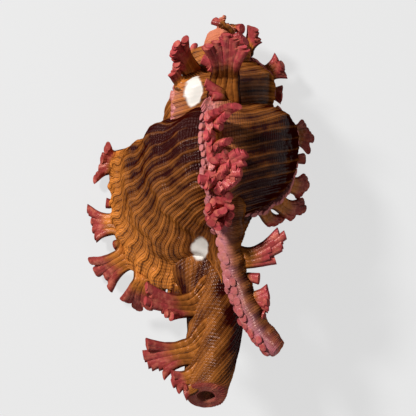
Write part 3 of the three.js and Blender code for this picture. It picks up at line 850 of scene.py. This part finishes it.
# %% Places of the fronds
# varix, root, tip, fingers, width, then the fan and the stem's foot where there is one
VARIX_FRONDS = [
    # the lip
    (0, (-28.0, 11.2), (-34.6, 11.8, 0.9), 4, 9.0),
    (0, (-29, 0.6), (-32.2, 0.7, 1.6), 1, 1.8),
    (0, (-28.6, -4.6), (-37.0, -5.0, 1.0), 4, 8.0),
    (0, (-27, -9.6), (-29.8, -10.9, 2.0), 1, 1.8),
    (0, (-25.2, -13.4), (-34.2, -19.2, 1.0), 4, 8.4, (-0.55, 0.8, 0)),
    (0, (-18.6, -17.0), (-23.6, -28.9, 5.0), 3, 6.2, (-1, 0.3, 0)),
    (0, (-13.4, -18.4), (-12.7, -25.0, 9.0), 2, 1.6, (1, 0, 0)),
    # the varix on the back
    (1, (-1.8, 21.6), (1.6, 26.8, 48.4), 4, 4.6, (1, 0.2, 0)),
    (1, (-2.6, 21.4), (-1.4, 25.6, 47.0), 2, 2.4, (1, 0, 0)),
    (1, (-3.0, 21.0), (-5.4, 22.6, 46.0), 2, 2.0, (0, 1, 0)),
    (1, (-3.6, 17.6), (-5.4, 18.4, 46.0), 3, 2.6),
    (1, (-3.6, 13.8), (-5.0, 13.8, 46.0), 2, 2.0),
    (1, (-0.6, 9.8), (5.0, 14.2, 48.8), 4, 4.4, (1, -0.8, 0)),
    (1, (-1.2, 10.2), (-0.6, 13.6, 48.6), 3, 3.2, (1, 0, 0)),
    (1, (-1.8, 9.6), (-3.6, 10.8, 47.6), 3, 3.0, (0.3, 1, 0)),
    (1, (-0.8, 8.6), (4.4, 8.8, 48.8), 3, 3.2, (0, 1, 0)),
    (1, (-1.0, 8.2), (2.4, 5.2, 48.2), 4, 4.2, (1, 0.6, 0)),
    (1, (-3.2, 6.8), (-6.6, 6.8, 46.0), 3, 2.6, (0.2, 1, 0)),
    (1, (-1.8, -0.6), (0.6, 2.0, 46.0), 3, 3.0, (1, -0.7, 0)),
    (1, (-2.2, -1.0), (-4.8, -0.4, 45.2), 3, 3.6, (0.4, 1, 0)),
    (1, (-1.6, -1.8), (-3.6, -4.6, 45.0), 3, 3.0, (1, -0.6, 0)),
    (1, (-1.0, -1.6), (1.6, -2.0, 45.4), 3, 3.0, (0.2, 1, 0)),
    (1, (-1.0, 9.2), (1.4, 10.6, 48.8), 4, 4.4, (0.4, 1, 0)),
    (1, (-1.2, 8.6), (0.2, 8.0, 48.6), 4, 4.0, (1, 0.4, 0)),
    (1, (-1.6, -1.2), (-1.2, -1.2, 46.4), 4, 3.8, (1, 0.3, 0)),
    (1, (-2.0, 21.0), (0.2, 23.4, 48.0), 4, 4.2, (0.6, 1, 0)),
    (1, (-2.2, 15.6), (0.6, 16.6, 47.6), 3, 3.0, (1, 0.6, 0)),
    (1, (-1.8, 4.6), (0.6, 3.4, 46.6), 3, 2.6, (1, -0.5, 0)),
    # the varix on the right
    (2, (19.8, 19.6), (25.2, 19.2, 0.9), 3, 6.4),
    (2, (19.3, 13.1), (23.2, 13.2, 4.6), 1, 2.4),
    (2, (17.7, 6.6), (23.8, 5.6, 0.9), 3, 4.8),
    (2, (15.0, 1.6), (22.6, -1.0, 0.9), 3, 5.4),
    (2, (11.0, -0.6), (17.2, -4.4, 4.0), 2, 3.0),
    # the spire
    (3, (-9.4, 36.4), (-13.6, 42.2, 31.0), 4, 6.6, (0.5, 1, 0)),
    (3, (-11.4, 32.5), (-14.0, 36.8, 27.0), 2, 2.0),
    (4, (2.0, 33.0), (0.2, 45.2, 41.0), 5, 9.6, (1, 0, 0), (3.2, 27.0)),
    (4, (-1, 34.0), (-7.0, 38.9, 34.0), 2, 1.4),
    (4, (-2.0, 29.0), (-6.0, 31.2, 34.0), 2, 2.6),
    (5, (12.4, 36.4), (16.9, 38.8, 9.6), 3, 4.8),
    (5, (14.8, 31.0), (16.6, 30.6, 8.6), 2, 2.4),
    (6, (-8, 40.6), (-9.0, 42.4, 6.0), 2, 2.6),
    (7, (1, 43.0), (4.6, 45.6, 25.6), 5, 5.0, (1, 0, 0)),
    (8, (6.5, 43.6), (8.4, 48.0, 12.6), 3, 3.6),
    (11, (2.6, 48.4), (5.2, 48.2, 13.0), 1, 1.2),
    (10, (-2, 48.6), (-3.2, 50.0, 14.6), 1, 1.4)]
# root, lean, tip, fingers, width, fan
CANAL_FRONDS = [
    ((-6.6, -26.2, 26.6), (-1, -0.35, 0.2), (-21.6, -24.6, 30.0), 4, 9.2, (-0.6, 0.8, 0)),
    ((-7.8, -38.8, 31.6), (-1, -0.1, 0.1), (-21.6, -41.4, 32.0), 4, 9.2, (-0.5, 0.86, 0)),
    ((-8.4, -45.2, 33.0), (-1, -0.3, 0.1), (-14.2, -47.0, 33.4), 3, 3.8, (-0.4, 0.9, 0)),
    ((-8.4, -48.4, 33.6), (-1, -0.4, 0.1), (-10.8, -49.4, 33.6), 2, 2.0, (0, 1, 0)),
    ((3.4, -13.0, 33.0), (1, -0.7, 0.1), (15.8, -9.0, 36.0), 4, 6.6, (0.1, 1, 0)),
    ((4.4, -18.8, 32.0), (1, 0, 0), (9.8, -19.4, 33.0), 1, 2.2, (0, 1, 0)),
    ((6.2, -25.0, 32.0), (1, 0, 0.2), (12.4, -24.4, 35.0), 4, 4.8, (0, 1, 0)),
    ((7.6, -30.0, 32.6), (1, 0, 0.2), (11.4, -31.0, 34.5), 2, 3.0, (0, 1, 0))]
PETAL_TINT = {0: 0.22, 1: 1.0, 2: 0.12, 3: 0.62, 4: 0.8, 5: 0.5}  # how rosy each varix's fronds are
print("fronds on varices:", len(VARIX_FRONDS), "and on canals:", len(CANAL_FRONDS))

# %% [markdown]
# Each frond grows into its group of ribs, in the order of the lists.

# %% Growing the fronds
groups = {name: Ribs() for name in ("lip_fronds", "back_fronds", "spire_fronds", "canal_fronds", "scales")}
for varix, place, tip, fingers, width, *more in VARIX_FRONDS:
    group = "lip_fronds" if varix == 0 else "back_fronds" if varix < 3 else "spire_fronds"
    varix_frond(groups[group], varix, place, tip, fingers, width, *more, tone=0.5 if varix == 4 else 0.72,
                petal=PETAL_TINT.get(varix, 0.7), foot=0.55 if varix == 1 else 1.25)
for root, lean, tip, fingers, width, fan in CANAL_FRONDS:
    root, tip = (np.array(p, float) + [*SHIFT, 0] for p in (root, tip))
    fan = np.array(fan, float)
    lean = unit(np.array(lean, float))
    # the canal's cords run down this way
    uphill = np.array([0.75, 0.66, 0] if lean[0] < 0 else [-0.42, 1.0, 0])

    def feet(q):
        aside = fan * q * width
        back = 1 if lean[0] < 0 else 0.3  # on the right the fronds spring straight from the canal's side
        return [root + uphill * 7 * back + aside * 0.44 - lean * (1 - back) * 3 - [0, 0, 2.0],
                root + uphill * 3.2 * back + aside * 0.40 - lean * (1 - back) * 1.5 - [0, 0, 0.5],
                root + uphill * 0.6 * back + aside * 0.32]

    grow_frond(groups["canal_fronds"], feet, root, lean, tip, fan, fingers, width, 0.6,
               0.4 if lean[0] < 0 else 0.7)
print("points on the ribs:", {name: len(ribs.points) for name, ribs in groups.items()})

# %% [markdown]
# Between the fronds each cord ends at the varix in a small curled scale. They are ribs too, only short
# ones, set in step along each varix with a little chance in their size.

# %% Scales along the varices
SCALE_STEPS = 9
for varix, count in ((0, 26), (1, 96), (2, 44), (3, 40), (4, 32), (5, 20), (6, 12), (7, 12), (8, 8)):
    size = growth_rows(varix + 0.01)[1][0]
    for k in range(count):
        u = 0.17 + 0.70 * (k + rng.uniform(-0.3, 0.3)) / count
        crest = whorl_point(varix + 0.006, u)
        growing = unit(crest - whorl_point(varix + 0.06, u))
        out = unit(whorl_point(varix + 0.006, u, 1.0) - crest)
        long = size * rng.uniform(0.02, 0.12 if varix == 1 else 0.085)
        route = [crest - growing * 1.2 - out * 1.2, crest - growing * 0.3 - out * 0.5,
                 crest + growing * long * 0.5 - out * 0.1, crest + growing * long + out * long * 0.35]
        along = unit(whorl_point(varix + 0.01, u - 0.01) - whorl_point(varix + 0.01, u + 0.01))
        wide = size * rng.uniform(0.006, 0.011)
        groups["scales"].add(route, [wide, 1.1 * wide, wide, 0.6 * wide], along, (0.15, 0.42), 0.75,
                             0.8 if varix else 0.1, SCALE_STEPS, blush=0.7 if varix else 0.0)
print("scales on varices:", len(groups["scales"].points) // SCALE_STEPS)

# %% [markdown]
# The old canal on the back carries crinkled scales all the way down its left side, in three uneven rows.

# %% Crinkles down the old canal
CRINKLES = 54
for k in range(CRINKLES):
    t = 1.3 + 5.2 * (k + rng.uniform(-0.3, 0.3)) / CRINKLES
    x, y, z, wide, deep = spline(BACK_CANAL, t)[0]
    way = unit(spline(BACK_CANAL, t + 0.05)[0, :3] - spline(BACK_CANAL, t)[0, :3])
    side = unit(np.cross([0, 0, 1.0], way)) * (-1 if np.cross([0, 0, 1.0], way)[0] > 0 else 1)
    around = math.radians(rng.choice([24, 40, 58]) + rng.uniform(-8, 8))
    out = side * math.cos(around) * wide + np.array([0, 0, math.sin(around) * deep])
    place = np.array([x + SHIFT[0], y + SHIFT[1], z])
    long = rng.uniform(0.04, 0.26) * (0.4 + 0.16 * t)
    groups["scales"].add(
        [place + out * 0.5, place + out * 0.86, place + out * (1 + 0.5 * long),
         place + out * (1 + long) - way * rng.uniform(-0.6, 0.6)],
        [0.34, 0.28, 0.24, 0.16], way, (0.15, 0.26 + 0.06 * t), 0.75, 0.8, SCALE_STEPS,
        spread=[1.0, 1.2, 1.3, 1.0], blush=0.75)
print("scales with the crinkles:", len(groups["scales"].points) // SCALE_STEPS)

# %% [markdown]
# Now each group of ribs is swept into one piece.

# %% Fronds and scales
SWEEP = rib_tree(SHELL_SKIN)
for name, ribs in groups.items():
    rib_rows = points_object(name + " ribs", np.array(ribs.points), ribs.values, ribs.edges)
    pieces.append(run_tree(SWEEP, rib_rows, name, sides=10, flatness=0.95, crinkle=0.12))

# %% [markdown]
# The mouth can only be seen from low down or from below: a flat lip with a porcelain hollow behind it. It
# is a plain lofted mesh, from the lip's edge to the rim of the hollow and then back along the last growth.

# %% The mouth
MOUTH_COLUMNS = 96
LIP_ROWS, HOLLOW_ROWS = 10, 22
HOLLOW_MIDDLE = np.array([0.66, -0.5])  # on the lip's flat face, in whorl radii
HOLLOW_HALF = np.array([0.27, 0.40])
HOLLOW_REACH = 0.62  # how far back the hollow runs, in stages
HOLLOW_CLOSING = 0.7  # how much of its width it has lost at its end


def mouth():
    columns, centre = MOUTH_COLUMNS, HOLLOW_MIDDLE
    ridge, _, flare = (v[0] for v in growth_rows(0.0)[3:])
    swell = smooth(outline[:, 0], 0.15, 0.6) * (ridge + flare * smooth(-outline[:, 1], -0.1, 0.1))
    edge = outline + swell[:, None] * np.stack([-outline_slope[:, 1], outline_slope[:, 0]], axis=1)
    edge = np.vstack([edge, [[0.0, -1.55], [0.0, 0.48]]])
    angle = np.unwrap(np.arctan2(*(edge - centre).T[::-1]))
    order = np.argsort(angle)
    turns = np.linspace(angle.min(), angle.min() + math.tau, columns, endpoint=False)
    rim = np.stack([np.interp(turns, angle[order], edge[order, k], period=math.tau) for k in (0, 1)],
                   axis=1)
    oval = centre + HOLLOW_HALF * np.stack([np.cos(turns), np.sin(turns)], axis=1)
    rows = []
    for t in np.linspace(0, 1, LIP_ROWS):
        rows.append((0.0, rim + (oval - rim) * t))
    for t in np.linspace(0.02, 1, HOLLOW_ROWS):
        rows.append((HOLLOW_REACH * t, centre + (oval - centre) * (1 - HOLLOW_CLOSING * t * t)))
    verts, inside = [], []
    for k, (stage, flat) in enumerate(rows):
        turn, size, shoulder = (v[0] for v in growth_rows(stage)[:3])
        verts.append(lay(-math.cos(turn) * size * flat[:, 0], shoulder + size * flat[:, 1],
                         math.sin(turn) * size * flat[:, 0]))
        inside.append(np.full(columns, min(k / 5, 1)))
    verts.append(verts[-1].mean(axis=0)[None])
    inside.append(np.ones(1))
    verts, inside = np.concatenate(verts), np.concatenate(inside)
    verts[:, 2] = np.maximum(verts[:, 2], 0)
    faces = [(i * columns + j, i * columns + (j + 1) % columns, (i + 1) * columns + (j + 1) % columns,
              (i + 1) * columns + j) for i in range(len(rows) - 1) for j in range(columns)]
    last = (len(rows) - 1) * columns
    faces += [(last + j, last + (j + 1) % columns, len(verts) - 1) for j in range(columns)]
    mesh = bpy.data.meshes.new("mouth")
    mesh.from_pydata((verts * MM).tolist(), [], faces)
    for label, data in (("inside", inside), ("tone", inside * 0 + 0.8), ("cord", inside * 0 + 1)):
        mesh.attributes.new(label, "FLOAT", "POINT").data.foreach_set("value", data.astype(np.float32))
    mesh.polygons.foreach_set("use_smooth", np.ones(len(mesh.polygons), bool))
    mesh.materials.append(SHELL_SKIN)
    piece = bpy.data.objects.new("mouth", mesh)
    in_scene(piece)
    return piece


pieces.append(mouth())
print("mouth faces:", len(pieces[-1].data.polygons))

# %% [markdown]
# All of it is one grown thing, so every piece stands for the frame's one node and rides with it.

# %% Joining the pieces to the frame
for piece in pieces:
    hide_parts("shell")
    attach(piece, "root")
print("pieces that ride with the shell:", len(pieces))

# %% [markdown]
# The stage is plain: a pale floor, broad soft lights with the strongest from the upper left, and a camera
# with a long lens looking straight down on the shell's back.

# %% Floor, lights and camera
def floor():
    mesh = bpy.data.meshes.new("floor")
    wide = 2.5
    mesh.from_pydata([(-wide, -wide, 0), (wide, -wide, 0), (wide, wide, 0), (-wide, wide, 0)], [],
                     [(0, 1, 2, 3)])
    material = bpy.data.materials.new("pale floor")
    material.use_nodes = True
    shader = material.node_tree.nodes["Principled BSDF"]
    for name, value in {"Base Color": (0.12, 0.12, 0.12, 1), "Roughness": 0.9, "Specular IOR Level": 0.1,
                        "Emission Color": (1, 1, 1, 1), "Emission Strength": 0.68}.items():
        shader.inputs[name].default_value = value
    mesh.materials.append(material)
    made = bpy.data.objects.new("floor", mesh)
    in_scene(made)


def soft_light(name, place, size, power, colour=(1, 1, 1)):
    lamp = bpy.data.lights.new(name, "AREA")
    lamp.shape, lamp.size, lamp.energy, lamp.color = "DISK", size, power, colour
    made = bpy.data.objects.new(name, lamp)
    made.location = place
    made.rotation_euler = (-Vector(place)).to_track_quat("-Z", "Y").to_euler()
    in_scene(made)


floor()
soft_light("key", (-0.56, 0.50, 0.66), 0.15, 14.0)
soft_light("fill", (0.3, -0.8, 0.5), 0.5, 1.6)
world = bpy.data.worlds.new("studio")
world.use_nodes = True
world.node_tree.nodes["Background"].inputs["Color"].default_value = (1, 1, 1, 1)
world.node_tree.nodes["Background"].inputs["Strength"].default_value = 0.07
scene = bpy.context.scene
scene.world = world
scene.view_settings.view_transform = "Standard"

FIELD = 0.1115  # how much of the table's width is seen, at the shell's middle height
MIDDLE = (0.0020, -0.0002, 0.025)
lens = bpy.data.cameras.new("camera")
lens.lens, lens.sensor_width = 240.0, 36.0
distance = lens.lens / lens.sensor_width * FIELD
eye = bpy.data.objects.new("camera", lens)
eye.location = (MIDDLE[0], MIDDLE[1], MIDDLE[2] + distance)
scene.collection.objects.link(eye)
scene.camera = eye
print("camera is", round(distance, 3), "m above the shell")
